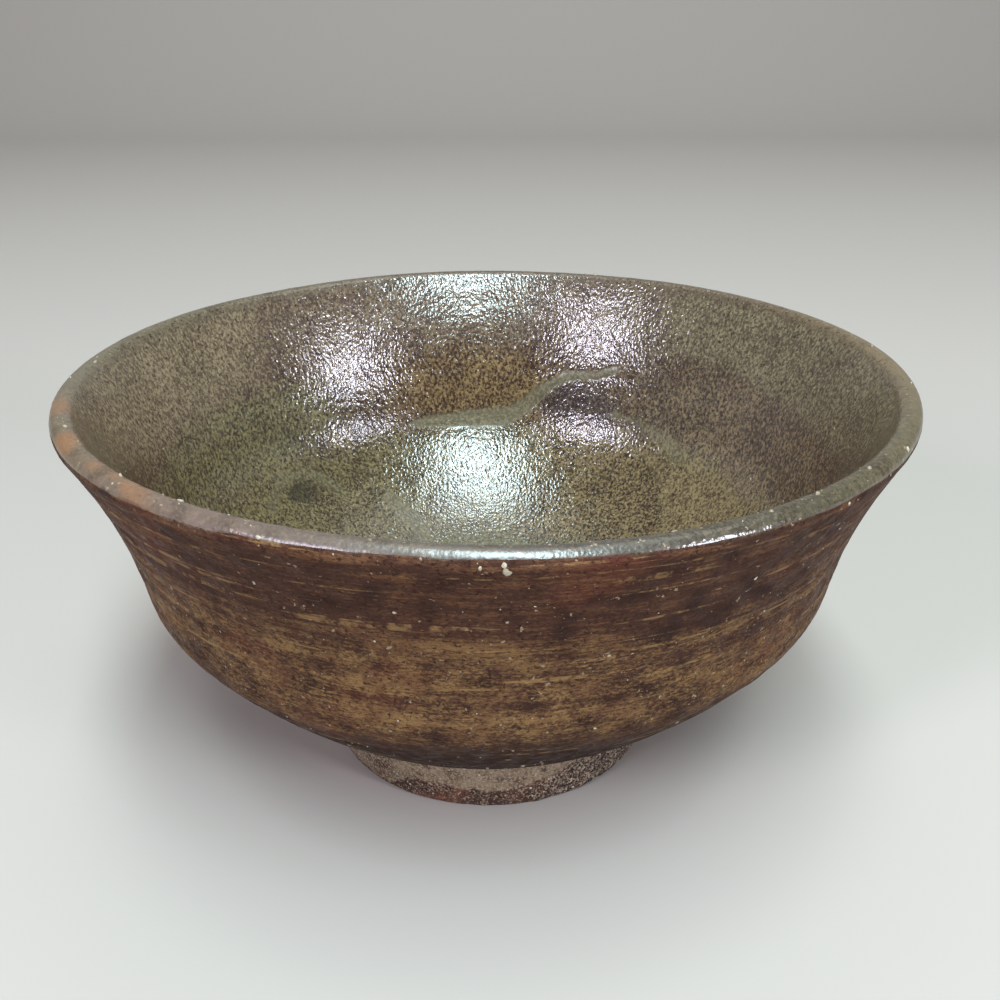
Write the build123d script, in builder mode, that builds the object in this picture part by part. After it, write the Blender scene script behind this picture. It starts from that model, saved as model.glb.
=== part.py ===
from build123d import *
import os
from math import cos, radians, sin

# Matcha bowl: a wheel-thrown stoneware bowl on a luted foot ring, with natural ash glaze and
# feldspar grains that burst through it in the kiln. The origin is the centre of the resting plane
# under the foot, +Z is up, and lengths are millimetres.

# Lip
bowl_r = 67.5
bowl_h = 68.2
wall_t = 3.6
lip_r = wall_t / 2
lip_slope = 60.7

# Walls, as tangent arcs from the lip down: (radius, turn in degrees), a left turn is positive.
outside_bends = ((82.7, 19.9), (13.0, -28.6), (92.8, -20.0))
inside_bends = ((89.6, 17.0), (24.0, -25.0), (45.7, -44.7))
floor_slope = lip_slope + sum(turn for _, turn in inside_bends)

# Coats
glaze_t = 0.45
pool_depth = 0.9
run_t = 0.7
run_w = 3.2
# The ash run's middle line in the front view
run_path = ((-15.0, 38.5), (-2.0, 37.5), (8.0, 40.0), (13.0, 46.0), (24.0, 49.0))

# Foot
foot_top_r = 30.0
foot_base_r = 28.2
foot_bore_r = 21.5
foot_bore_base_r = 20.6
foot_edge_r = 1.2
nipple_r = 5.0
nipple_drop = 1.1

# Grains: how many of each, their size across and proportions, how deep a grain's centre lies as a
# share of its size, and the part of each surface that they are spread over
outside_count = 30
inside_count = 26
lip_count = 12
foot_count = 14
grain_size = 0.7
grain_size_range = 0.5
lip_grain_size = 0.6
grain_shape = (1.0, 0.85, 0.75)
grain_sink = 0.3
outside_span = (0.07, 0.9)
inside_span = (0.06, 0.56)
lip_tilt_span = (25.0, 115.0)
foot_span = (0.3, 0.8)

# A grain's first and second tilts in degrees: the smallest, and how far each ranges above it
tilt_least = (20.0, 25.0)
tilt_range = (50.0, 37.0)

# The larger grains outside, placed by hand: azimuth in degrees, share of the way down, size
large_outside_grains = (
    (268.0, 0.55, 1.7),
    (273.5, 0.62, 1.5),
    (298.0, 0.20, 1.5),
    (291.0, 0.24, 1.2),
    (300.0, 0.56, 1.2),
    (284.5, 0.46, 1.2),
    (221.0, 0.50, 1.4),
)

lip_centre = Vector(bowl_r - lip_r, bowl_h - lip_r)
lip_out = Vector(sin(radians(lip_slope)), -cos(radians(lip_slope)))
lip_down = Vector(-cos(radians(lip_slope)), -sin(radians(lip_slope)))


def chain(start, heading, bends, shift):
    """Tangent arcs from start, moved sideways by shift, positive to the right of the heading."""
    arcs = []
    for radius, turn in bends:
        side = 1 if turn > 0 else -1
        arcs.append(JernArc(start, heading, radius + shift * side, turn))
        start = arcs[-1] @ 1
        heading = arcs[-1] % 1
    return arcs


def outside_wall(inset=0):
    """The outside from lip to foot, set into the clay by inset."""
    return chain(lip_centre + lip_out * (lip_r - inset), lip_down, outside_bends, inset)


def inside_wall(inset=0):
    """The inside from lip to the axis, set into the clay by inset."""
    start = lip_centre - lip_out * (lip_r - inset)
    arcs = chain(start, lip_down, inside_bends, -inset)
    last = arcs[-1]
    floor_r = (last @ 1).X / sin(radians(floor_slope))
    arcs.append(JernArc(last @ 1, last % 1, floor_r, -floor_slope))
    return arcs


def lip_arc(inset=0):
    """The round of the lip, from the outside wall over the top to the inside wall."""
    return CenterArc(lip_centre, lip_r - inset, lip_slope - 90, 180)


def spread(count):
    """Evenly scattered pairs between 0 and 1, by the plastic number's additive recurrence."""
    plastic = 1.3247179572
    return [((0.5 + i / plastic) % 1, (0.5 + i / plastic**2) % 1) for i in range(1, count + 1)]


def within(span, share):
    """The value at a share of the way through a span."""
    return span[0] + (span[1] - span[0]) * share


def on_bowl(radius, height, azimuth):
    """A location at a radius, height and azimuth on the bowl, tumbled differently at each azimuth."""
    position = (radius * cos(radians(azimuth)), radius * sin(radians(azimuth)), height)
    tilts = [least + azimuth % reach for least, reach in zip(tilt_least, tilt_range)]
    return Location(position, (*tilts, azimuth))


def wall_grain(wall, share, azimuth, size, clay_side):
    """A grain's location and size, sunk from a wall's line towards the clay."""
    spot = wall @ share
    along = wall % share
    inward = Vector(along.Y, -along.X) * clay_side
    centre = spot + inward * (size * grain_sink)
    return on_bowl(centre.X, centre.Y, azimuth), size


def grain_across(u, v):
    """A grain's size: most are small and a few are nearly the largest."""
    return grain_size + grain_size_range * (u * v) ** 2


def grain(size):
    """One blocky crystal at the current locations."""
    Box(*(size * proportion for proportion in grain_shape))


outside_line = Wire(outside_wall())
inside_line = Wire(inside_wall())
foot_h = (outside_wall(glaze_t)[-1] @ 1).Y
floor_z = (inside_line @ 1).Y

outside_places = [
    wall_grain(outside_line, within(outside_span, u), 360 * v, grain_across(u, v), 1)
    for u, v in spread(outside_count)
]
outside_places += [
    wall_grain(outside_line, share, azimuth, size, 1)
    for azimuth, share, size in large_outside_grains
]
inside_places = [
    wall_grain(inside_line, within(inside_span, u), 360 * v, grain_across(u, v), -1)
    for u, v in spread(inside_count)
]
lip_places = []
for u, v in spread(lip_count):
    tilt = radians(within(lip_tilt_span, u))
    reach = lip_r - lip_grain_size * grain_sink
    spot = lip_centre + Vector(cos(tilt), sin(tilt)) * reach
    lip_places.append((on_bowl(spot.X, spot.Y, 360 * v), lip_grain_size))
foot_places = []
for u, v in spread(foot_count):
    height = foot_h * within(foot_span, u)
    flank_r = foot_base_r + (foot_top_r - foot_base_r) * height / foot_h
    sunk_r = flank_r - grain_size * grain_sink
    foot_places.append((on_bowl(sunk_r, height, 360 * v), grain_size))

# Feldspar and quartz grains, one group for each surface that they break through
with BuildPart() as outside_grains:
    for place, size in outside_places:
        with Locations(place):
            grain(size)
outside_grains.part.label = "outside_grains"

with BuildPart() as inside_grains:
    for place, size in inside_places:
        with Locations(place):
            grain(size)
inside_grains.part.label = "inside_grains"

with BuildPart() as lip_grains:
    for place, size in lip_places:
        with Locations(place):
            grain(size)
lip_grains.part.label = "lip_grains"

with BuildPart() as foot_grit:
    for place, size in foot_places:
        with Locations(place):
            grain(size)
foot_grit.part.label = "foot_grit"

# Thrown wall and floor, with the turned underside and its small central nipple
with BuildPart() as clay_body:
    with BuildSketch(Plane.XZ):
        with BuildLine():
            outside = outside_wall(glaze_t)
            inside = inside_wall(glaze_t)
            lip_arc(glaze_t)
            seat = Line(outside[-1] @ 1, (nipple_r, foot_h))
            nipple = Line(seat @ 1, (0, foot_h - nipple_drop))
            Line(nipple @ 1, inside[-1] @ 1)
        make_face()
    revolve(axis=Axis.Z)
    add(outside_grains.part, mode=Mode.SUBTRACT)
    add(inside_grains.part, mode=Mode.SUBTRACT)
    add(lip_grains.part, mode=Mode.SUBTRACT)
clay_body.part.label = "clay_body"

# Foot ring, tapered to its rounded resting edge and luted under the body
with BuildPart() as foot_ring:
    with BuildSketch(Plane.XZ):
        with BuildLine():
            Polyline(
                (foot_bore_base_r, 0),
                (foot_base_r, 0),
                (foot_top_r, foot_h),
                (foot_bore_r, foot_h),
                close=True,
            )
        make_face()
    revolve(axis=Axis.Z)
    fillet(foot_ring.edges().group_by(Axis.Z)[0], foot_edge_r)
    add(foot_grit.part, mode=Mode.SUBTRACT)
foot_ring.part.label = "foot_ring"

# Iron-brown ash coat outside, ending in a step above the foot
with BuildPart() as outside_glaze:
    with BuildSketch(Plane.XZ):
        with BuildLine():
            skin = outside_wall()
            backing = outside_wall(glaze_t)
            Line(skin[0] @ 0, backing[0] @ 0)
            Line(skin[-1] @ 1, backing[-1] @ 1)
        make_face()
    revolve(axis=Axis.Z)
    add(outside_grains.part, mode=Mode.SUBTRACT)
outside_glaze.part.label = "outside_glaze"

# Inside coat, from the lip down to the floor
with BuildPart() as inside_glaze:
    with BuildSketch(Plane.XZ):
        with BuildLine():
            skin = inside_wall()
            backing = inside_wall(glaze_t)
            Line(skin[0] @ 0, backing[0] @ 0)
            Line(skin[-1] @ 1, backing[-1] @ 1)
        make_face()
    revolve(axis=Axis.Z)
    add(inside_grains.part, mode=Mode.SUBTRACT)
inside_glaze.part.label = "inside_glaze"

# Thin coat over the round of the lip, between the other two
with BuildPart() as lip_glaze:
    with BuildSketch(Plane.XZ):
        with BuildLine():
            skin_arc = lip_arc()
            backing_arc = lip_arc(glaze_t)
            Line(skin_arc @ 0, backing_arc @ 0)
            Line(skin_arc @ 1, backing_arc @ 1)
        make_face()
    revolve(axis=Axis.Z)
    add(lip_grains.part, mode=Mode.SUBTRACT)
lip_glaze.part.label = "lip_glaze"

# Melted ash lying level in the bottom of the bowl
with BuildPart() as ash_pool:
    with BuildSketch(Plane.XZ):
        with BuildLine():
            skin = inside_wall()
            mouth = Line(skin[0] @ 0, (0, (skin[0] @ 0).Y))
            Line(mouth @ 1, skin[-1] @ 1)
        make_face()
    revolve(axis=Axis.Z)
    split(bisect_by=Plane.XY.offset(floor_z + pool_depth), keep=Keep.BOTTOM)
ash_pool.part.label = "ash_pool"

# Raised run of ash glaze across the inside of the back wall: a band of the front view, laid on the
# wall at an even thickness
with BuildPart() as ash_run:
    with BuildSketch(Plane.XZ):
        with BuildLine():
            skin = inside_wall()
            crest = inside_wall(-run_t)
            Line(skin[0] @ 0, crest[0] @ 0)
            Line(skin[-1] @ 1, crest[-1] @ 1)
        make_face()
    revolve(axis=Axis.Z)
    with BuildSketch(Plane.XZ):
        with BuildLine():
            Spline(*run_path)
        trace(line_width=run_w)
    extrude(amount=-bowl_r, mode=Mode.INTERSECT)
    add(inside_grains.part, mode=Mode.SUBTRACT)
ash_run.part.label = "ash_run"

pieces = (
    clay_body,
    foot_ring,
    outside_glaze,
    inside_glaze,
    lip_glaze,
    ash_pool,
    ash_run,
    outside_grains,
    inside_grains,
    lip_grains,
    foot_grit,
)
os.makedirs("parts", exist_ok=True)
for piece in pieces:
    export_step(piece.part, f"parts/{piece.part.label}.step")
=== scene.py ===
from math import cos, pi, radians, sin

import bmesh
import bpy
import numpy as np
from mathutils import Matrix, Vector


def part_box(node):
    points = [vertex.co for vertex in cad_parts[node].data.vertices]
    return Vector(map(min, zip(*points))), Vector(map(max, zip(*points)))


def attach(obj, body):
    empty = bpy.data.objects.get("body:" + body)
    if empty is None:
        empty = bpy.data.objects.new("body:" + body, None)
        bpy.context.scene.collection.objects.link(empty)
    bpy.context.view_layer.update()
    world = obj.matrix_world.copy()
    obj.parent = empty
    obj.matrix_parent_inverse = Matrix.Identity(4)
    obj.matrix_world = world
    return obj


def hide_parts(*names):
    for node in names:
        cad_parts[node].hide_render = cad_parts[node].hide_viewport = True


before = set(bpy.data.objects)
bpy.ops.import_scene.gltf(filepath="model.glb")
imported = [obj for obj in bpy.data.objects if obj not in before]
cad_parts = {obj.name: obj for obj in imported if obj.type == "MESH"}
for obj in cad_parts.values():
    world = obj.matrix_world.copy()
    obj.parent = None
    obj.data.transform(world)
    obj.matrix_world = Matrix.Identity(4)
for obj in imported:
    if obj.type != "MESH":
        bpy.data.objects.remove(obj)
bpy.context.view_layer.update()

MM = 0.001
BODY = "root"

# ---- driving dimensions, from the frame
LIP_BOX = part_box("lip_glaze")
FOOT_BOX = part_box("foot_ring")
POOL_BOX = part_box("ash_pool")
RIM_R = LIP_BOX[1].x
RIM_H = 68.2 * MM
FOOT_H = FOOT_BOX[1].z
FOOT_TOP_R = FOOT_BOX[1].x
LIP_R = 1.8 * MM
GLAZE_T = 0.45 * MM
LIP_SLOPE = radians(60.7)
# Walls, as tangent arcs from the lip down: (radius in mm, turn in degrees), a left turn is positive
OUTSIDE_BENDS = ((82.7, 19.9), (13.0, -28.6), (92.8, -20.0))
INSIDE_BENDS = ((89.6, 17.0), (24.0, -25.0), (45.7, -44.7))
FLOOR_SLOPE = radians(8.0)
FOOT_BASE_R = 28.2 * MM
FOOT_BORE_R = 21.5 * MM
FOOT_BORE_BASE_R = 20.6 * MM
FOOT_EDGE_R = 1.2 * MM
NIPPLE_R = 5.0 * MM
NIPPLE_DROP = 1.1 * MM

LIP_CENTRE = np.array([RIM_R - LIP_R, RIM_H - LIP_R])
LIP_OUT = np.array([sin(LIP_SLOPE), -cos(LIP_SLOPE)])


# ---- sections of the bowl
def left_of(heading):
    return np.array([-sin(heading), cos(heading)])


def directions(tilt):
    """Unit vectors at angles from level and outward."""
    return np.stack([np.cos(tilt), np.sin(tilt)], -1)


def walk(start, heading, bends):
    """Tangent arcs from start: (centre, signed radius, first heading, turn) for each bend."""
    arcs = []
    for radius, turn in bends:
        signed = radius * (1 if turn > 0 else -1)
        centre = start + signed * left_of(heading)
        arcs.append((centre, signed, heading, turn))
        heading += turn
        start = centre - signed * left_of(heading)
    return arcs, start, heading


def scaled_bends(bends, shift):
    """Bends in metres and radians, with the line moved sideways by shift, right positive."""
    return [(r * MM + shift * (1 if t > 0 else -1), radians(t)) for r, t in bends]


def outside_arcs(inset=0.0, over_lip=0.0):
    """The outside down to the foot, from over_lip radians up the round of the lip."""
    tilt = LIP_SLOPE - pi / 2 + over_lip
    start = LIP_CENTRE + directions(tilt) * (LIP_R - inset)
    bends = scaled_bends(OUTSIDE_BENDS, inset)
    if over_lip:
        bends = [(LIP_R - inset, -over_lip), *bends]
    return walk(start, pi + LIP_SLOPE + over_lip, bends)[0]


def inside_arcs(inset=0.0):
    """The inside from the lip to the axis, set into the clay by inset."""
    start = LIP_CENTRE - LIP_OUT * (LIP_R - inset)
    arcs, end, heading = walk(start, pi + LIP_SLOPE, scaled_bends(INSIDE_BENDS, -inset))
    floor = walk(end, heading, [(end[0] / sin(FLOOR_SLOPE), -FLOOR_SLOPE)])[0]
    return arcs + floor


def length_of(arcs):
    """The whole length of a chain of arcs."""
    return sum(abs(signed * turn) for _, signed, _, turn in arcs)


def along(arcs, distances, left_is_out):
    """Points and outward normals on tangent arcs, at distances from their start."""
    ends = np.cumsum([0] + [abs(signed * turn) for _, signed, _, turn in arcs])
    points = np.zeros((len(distances), 2))
    normals = np.zeros((len(distances), 2))
    for i, d in enumerate(np.clip(distances, 0, ends[-1])):
        k = min(int(np.searchsorted(ends, d, side="right")) - 1, len(arcs) - 1)
        centre, signed, heading, turn = arcs[k]
        here = heading + (d - ends[k]) / abs(signed) * (1 if turn > 0 else -1)
        left = left_of(here)
        points[i] = centre - signed * left
        normals[i] = left if left_is_out else -left
    return points, normals


# ---- noise
def lattice(ix, iy, iz, seed):
    """A repeatable value from 0 to 1 at each whole-numbered place."""
    n = ix * 374761393 + iy * 668265263 + iz * 1440662683 + seed * 974634777
    n = (n ^ (n >> 13)) & 0xFFFFFFFF
    n = (n * 1274126177) & 0xFFFFFFFF
    n = (n ^ (n >> 16)) & 0xFFFFFFFF
    return n / 0xFFFFFFFF


def value_noise(p, seed):
    """Smooth noise from -1 to 1 at points given in units of the wavelength."""
    base = np.floor(p).astype(np.int64)
    f = p - base
    f = f * f * (3 - 2 * f)
    total = np.zeros(p.shape[:-1])
    for corner in range(8):
        dx, dy, dz = corner & 1, corner >> 1 & 1, corner >> 2 & 1
        weight = np.abs(1 - dx - f[..., 0]) * np.abs(1 - dy - f[..., 1]) * np.abs(1 - dz - f[..., 2])
        total += weight * lattice(base[..., 0] + dx, base[..., 1] + dy, base[..., 2] + dz, seed)
    return total * 2 - 1


def fbm(p, wavelength, octaves, seed):
    """Layered noise at a wavelength in metres, about -1 to 1."""
    total = np.zeros(p.shape[:-1])
    for k in range(octaves):
        total += value_noise(p / wavelength * 2**k + 17.3 * k, seed + k) / 2**k
    return total / (2 - 0.5 ** (octaves - 1))


def smoothstep(low, high, x):
    """0 below low and 1 above high, with a smooth rise between; high may be the smaller one."""
    t = np.clip((x - low) / (high - low), 0, 1)
    return t * t * (3 - 2 * t)


def mix(a, b, t):
    """a where t is 0, b where t is 1; colours take t on their last axis."""
    a, b = np.asarray(a, float), np.asarray(b, float)
    if a.ndim > np.ndim(t) or b.ndim > np.ndim(t):
        t = np.asarray(t)[..., None]
    return a * (1 - t) + b * t


def srgb(red, green, blue):
    """A linear colour from display values of 0 to 255."""
    c = np.array([red, green, blue]) / 255
    return np.where(c <= 0.04045, c / 12.92, ((c + 0.055) / 1.055) ** 2.4)


def even(p, *display):
    """One colour at every point."""
    return np.broadcast_to(srgb(*display), p.shape)


# ---- shape that all pieces share
def azimuth_of(p):
    """Degrees from +X, 0 to 360."""
    return np.degrees(np.arctan2(p[..., 1], p[..., 0])) % 360


def waves(az, terms):
    """A wavy line round the bowl, as a sum of (height, number of waves, phase)."""
    return sum(height * np.cos(count * az + phase) for height, count, phase in terms)


# How far the rim is from round, as a share of its radius, and how the lip rises and dips, in mm
OVAL = ((0.0022, 2, 0.6), (0.0014, 3, 2.0), (0.0008, 5, 0.0))
SWAY = ((0.22, 2, -1.1), (0.14, 3, 0.4), (0.07, 7, 0.0))


def settle(p):
    """The slight unevenness of a hand-thrown bowl, which grows from the foot to the rim."""
    az = np.radians(azimuth_of(p))
    lift = smoothstep(12 * MM, RIM_H, p[..., 2])
    widen = 1 + lift * waves(az, OVAL)
    rise = lift * waves(az, SWAY) * MM
    out = p.copy()
    out[..., 0] *= widen
    out[..., 1] *= widen
    out[..., 2] += rise
    return out


def rings(p, wavelength, seed):
    """Throwing lines: noise that changes fast with height and slowly round the bowl."""
    stretched = np.stack([p[..., 0] * 0.06, p[..., 1] * 0.06, p[..., 2]], -1)
    return fbm(stretched, wavelength, 3, seed)


# Millimetres round the inside wall for each degree of azimuth, at mid height
MM_PER_DEG = 0.92
# Where the ash melted smooth: stops of (azimuth in degrees, height in mm, half width in mm).
# The first path is the raised run across the back wall.
SMOOTH_PATHS = (
    ((108, 38.4, 0.7), (102, 38.4, 1.2), (94, 38.3, 1.8), (87, 38.9, 1.9), (82, 41.2, 1.5),
     (78, 45.0, 1.2), (73, 48.0, 1.1), (66, 48.7, 1.0), (62, 50.5, 0.8)),
    ((61, 41.5, 0.7), (55, 40.9, 1.0), (48, 38.8, 1.2), (42, 36.8, 1.4)),
    ((152, 31.0, 0.8), (144, 34.6, 0.9), (137, 34.0, 1.0), (131, 29.0, 1.2)),
    ((119, 26.0, 1.6), (113, 21.0, 2.2)),
)


def smooth_glaze(p):
    """0 to 1, how smooth the inside glaze is: 1 in the runs where it melted right through."""
    az, z = azimuth_of(p), p[..., 2] / MM
    warp = fbm(p, 5 * MM, 3, 71)
    best = np.full(az.shape, 1e9)
    for path in SMOOTH_PATHS:
        for (a0, z0, w0), (a1, z1, w1) in zip(path[:-1], path[1:]):
            dx, dz = (a1 - a0) * MM_PER_DEG, z1 - z0
            px, pz = (az - a0) * MM_PER_DEG, z - z0
            t = np.clip((px * dx + pz * dz) / (dx * dx + dz * dz), 0, 1)
            best = np.minimum(best, np.hypot(px - t * dx, pz - t * dz) / (w0 + (w1 - w0) * t))
    return 1 - smoothstep(0.85, 1.25, best + 0.45 * warp)


def outside_relief(p):
    """Throwing lines and pebbled glaze, each as a height and a wavelength."""
    return (
        0.085 * MM * rings(p, 3.4 * MM, 3)
        + 0.05 * MM * rings(p, 1.3 * MM, 7)
        + 0.07 * MM * fbm(p, 3.2 * MM, 2, 13)
        + 0.035 * MM * fbm(p, 1.4 * MM, 2, 19)
    )


def inside_relief(p):
    """As outside, but level where the ash melted smooth, and with one turned groove."""
    flat = 1 - smooth_glaze(p)
    groove = np.exp(-(((p[..., 2] / MM - 49.2 - 0.5 * fbm(p, 20 * MM, 1, 5)) / 0.35) ** 2))
    return (
        0.07 * MM * rings(p, 4.5 * MM, 23)
        + flat * (0.05 * MM * fbm(p, 2.6 * MM, 2, 29) + 0.04 * MM * fbm(p, 1.3 * MM, 2, 31))
        + 0.05 * MM * (1 - flat)
        - 0.07 * MM * groove
    )


def relief(p, reach):
    """How far the glaze stands out; reach is the distance from the top of the lip, outside positive."""
    side = smoothstep(2.0 * MM, -2.0 * MM, reach)
    return mix(outside_relief(p), inside_relief(p), side)


# ---- colour zones, painted on the meshes
def patch(az, z, centre, size, edge=0.35):
    """1 inside an oval patch of the wall, 0 outside, given in degrees and millimetres."""
    turn = (az - centre[0] + 180) % 360 - 180
    d = np.hypot(turn / size[0], (z - centre[1]) / size[1])
    return 1 - smoothstep(1 - edge, 1 + edge, d)


def outside_tone(p):
    """Iron brown with a band of ochre ash round the waist, darker under it: partly darker glaze, partly
    painted shade where the wall turns under.
    """
    az, z = azimuth_of(p), p[..., 2] / MM
    warp = fbm(p, 14 * MM, 3, 41)
    fine = fbm(p, 3.2 * MM, 2, 43)
    line = rings(p, 2.2 * MM, 47)
    zw = z + 2.5 * warp
    ground = even(p, 66, 43, 35)
    ground = mix(ground, srgb(82, 46, 36), smoothstep(0.0, 0.5, warp))
    ground = mix(ground, srgb(50, 32, 27), smoothstep(0.1, 0.7, -fine))
    # darker under the waist: partly the glaze's own dark band, partly painted shade where the wall turns
    # under
    ground = mix(ground, srgb(40, 22, 16), smoothstep(34, 26, zw) * 0.9)
    ground = mix(ground, srgb(62, 28, 26), patch(az, z, (277, 14.5), (9, 2.6)) * 0.8)
    band = smoothstep(31, 37, zw) * smoothstep(58, 42, zw)
    turn = (az - 240 + 180) % 360 - 180
    facing = 0.5 + 0.5 * np.exp(-((turn / 55) ** 2)) + 0.3 * warp
    cover = 0.26 + 0.28 * band * np.clip(facing, 0.1, 1.1) + 0.3 * fine + 0.36 * line
    fleck = even(p, 128, 98, 64)
    fleck = mix(fleck, srgb(110, 80, 54), smoothstep(-0.2, 0.4, fbm(p, 2.4 * MM, 3, 163)))
    fleck = mix(fleck, srgb(104, 72, 50), smoothstep(48, 58, z))
    # flecks darker under the waist as well: partly real, partly painted shade
    fleck = mix(fleck, srgb(70, 52, 40), smoothstep(34, 28, zw))
    streak = 0.34 + 0.2 * smoothstep(46, 56, z)
    return ground, fleck, cover, np.zeros(az.shape), streak


def inside_tone(p):
    """Brown to olive zones of ash glaze, and the smooth runs."""
    az, z = azimuth_of(p), p[..., 2] / MM
    warp = fbm(p, 11 * MM, 3, 53)
    fine = fbm(p, 4 * MM, 2, 59)
    azw, zw = az + 5 * fbm(p, 9 * MM, 2, 61), z + 2.2 * warp
    ground = even(p, 76, 60, 52)
    fleck = even(p, 128, 110, 86)
    cover = np.full(az.shape, 0.4)

    def paint(amount, ground_colour, fleck_colour, share):
        nonlocal ground, fleck, cover
        ground = mix(ground, ground_colour, amount)
        fleck = mix(fleck, fleck_colour, amount)
        cover = mix(cover, share, amount)

    # purple-brown middle band all round, khaki-grey above it at the left and right
    paint(smoothstep(60, 52, zw), srgb(60, 43, 38), srgb(126, 105, 78), 0.4)
    paint(patch(azw, zw, (12, 62), (48, 9)), srgb(84, 72, 57), srgb(140, 126, 98), 0.4)
    paint(patch(azw, zw, (172, 62), (34, 10)), srgb(88, 73, 58), srgb(144, 126, 98), 0.42)
    # warm golden speckle above the run, olive ash to the left, dark purple-brown to the right
    paint(patch(azw, zw, (93, 45), (19, 7.5)), srgb(54, 36, 27), srgb(138, 112, 76), 0.46)
    paint(patch(azw, zw, (152, 44), (30, 8)), srgb(54, 43, 31), srgb(126, 114, 78), 0.48)
    paint(patch(azw, zw, (22, 45), (34, 7)), srgb(56, 42, 36), srgb(134, 112, 84), 0.44)
    paint(patch(azw, zw, (70, 43), (9, 4)), srgb(58, 45, 44), srgb(118, 102, 88), 0.32)
    # olive ash lower down, and browner speckle that ends at a crisp edge on its right
    low = smoothstep(40, 35, zw)
    paint(low, srgb(56, 45, 31), srgb(126, 110, 76), 0.48)
    edge_az = 36 + (z - 25) * 1.75 + 2.5 * fine
    brown = smoothstep(37.5, 34.5, zw) * smoothstep(84, 74, azw)
    brown = brown * smoothstep(edge_az - 1.2, edge_az + 1.2, az)
    paint(brown, srgb(46, 34, 26), srgb(132, 112, 78), 0.48)
    clear = low * smoothstep(edge_az + 1.0, edge_az - 1.5, az) * (az < 90)
    paint(clear * 0.8, srgb(72, 56, 40), srgb(134, 115, 82), 0.5)
    spot = patch(az, z, (141, 31.2), (4.5, 1.8), 0.3)
    paint(spot * (0.7 + 0.5 * fine), srgb(56, 50, 38), srgb(76, 68, 48), 0.3)
    paint(smoothstep(22, 16, z), srgb(74, 72, 48), srgb(110, 108, 74), 0.4)
    smooth = smooth_glaze(p) * np.where((az > 60) & (az < 110), 1.0, 0.6)
    paint(smooth * 0.85, srgb(92, 82, 60), srgb(118, 108, 82), 0.45)
    cover = cover + 0.16 * fine
    return ground, fleck, cover, smooth * 0.9, np.zeros(az.shape)


LIP_AZIMUTHS = (0, 40, 90, 150, 185, 215, 240, 262, 280, 310, 335, 360)
LIP_TONES = (
    (116, 98, 72), (94, 80, 64), (88, 76, 64), (98, 88, 70), (104, 94, 76), (110, 92, 74),
    (112, 92, 82), (92, 82, 72), (74, 68, 60), (76, 70, 54), (96, 86, 64), (116, 98, 72),
)


def lip_tone(p):
    """Tan to olive grey round the lip, rusty where the glaze is thinnest."""
    az = azimuth_of(p)
    stops = np.array([srgb(*tone) for tone in LIP_TONES])
    ground = np.stack([np.interp(az, LIP_AZIMUTHS, stops[:, k]) for k in range(3)], -1)
    fine = fbm(p, 3 * MM, 2, 67)
    ground = mix(ground, ground * 0.62, smoothstep(0.1, 0.6, fine))
    rusty = smoothstep(0.1, 0.45, fbm(p, 7 * MM, 2, 73)) * np.exp(-(((az - 214) / 26) ** 2))
    ground = mix(ground, srgb(142, 98, 66), rusty * 0.8)
    fleck = mix(ground * 1.25, srgb(128, 104, 80), 0.35)
    cover = 0.34 + 0.16 * fine
    return ground, fleck, cover, np.zeros(az.shape), np.zeros(az.shape)


def tone(p, reach):
    """The colours, fleck cover, smoothness and streakiness at points of the glaze."""
    side = smoothstep(1.0 * MM, -1.0 * MM, reach)
    ragged = reach + 0.5 * MM * fbm(p, 4 * MM, 2, 79)
    past = ragged - lip_edge(azimuth_of(p))
    rim = smoothstep(0.3 * MM, -0.3 * MM, past) * smoothstep(-4.6 * MM, -2.0 * MM, ragged)
    out, inn, lip = outside_tone(p), inside_tone(p), lip_tone(p)
    ground, fleck, cover, smooth, streak = (mix(mix(a, b, side), c, rim) for a, b, c in zip(out, inn, lip))
    # a thin ochre line of ash just under the lip
    under_lip = np.exp(-(((past - 0.9 * MM) / (0.35 * MM)) ** 2))
    under_lip = under_lip * smoothstep(-0.1, 0.4, fbm(p, 9 * MM, 2, 157))
    return ground, fleck, cover + 0.5 * under_lip, smooth, streak


# ---- meshes
def orient(mesh):
    """Makes every face of a closed mesh point outwards."""
    bm = bmesh.new()
    bm.from_mesh(mesh)
    bmesh.ops.recalc_face_normals(bm, faces=bm.faces)
    bm.to_mesh(mesh)
    bm.free()


def add_mesh(name, vertices, faces, attributes, material, replaced, flat=()):
    """A piece that rides the bowl. flat lists the faces that meet their neighbours at a sharp edge."""
    mesh = bpy.data.meshes.new(name)
    mesh.from_pydata(vertices.tolist(), [], faces)
    for key, values in attributes.items():
        if values.ndim == 2:
            rgba = np.concatenate([values, np.ones((len(values), 1))], 1)
            mesh.attributes.new(key, "FLOAT_COLOR", "POINT").data.foreach_set("color", rgba.ravel())
        else:
            mesh.attributes.new(key, "FLOAT", "POINT").data.foreach_set("value", values.ravel())
    smooth = np.ones(len(faces), bool)
    smooth[list(flat)] = False
    mesh.polygons.foreach_set("use_smooth", smooth)
    mesh.materials.append(material)
    orient(mesh)
    obj = bpy.data.objects.new(name, mesh)
    bpy.context.scene.collection.objects.link(obj)
    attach(obj, BODY)
    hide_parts(replaced)


def ring_faces(rows, cols, closed):
    """Quads between neighbouring rows of a turned grid; a closed one joins its last row to its first."""
    faces = []
    for i in range(rows if closed else rows - 1):
        a, b = i * cols, (i + 1) % rows * cols
        faces += [(a + j, a + (j + 1) % cols, b + (j + 1) % cols, b + j) for j in range(cols)]
    return faces


def closing_strips(rows, back_rows, cols):
    """The faces that join a coat's skin to its backing along both of its rims."""
    first, last = (rows - 1) * cols, (rows + back_rows - 1) * cols
    return [*range(first, first + cols), *range(last, last + cols)]


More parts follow.
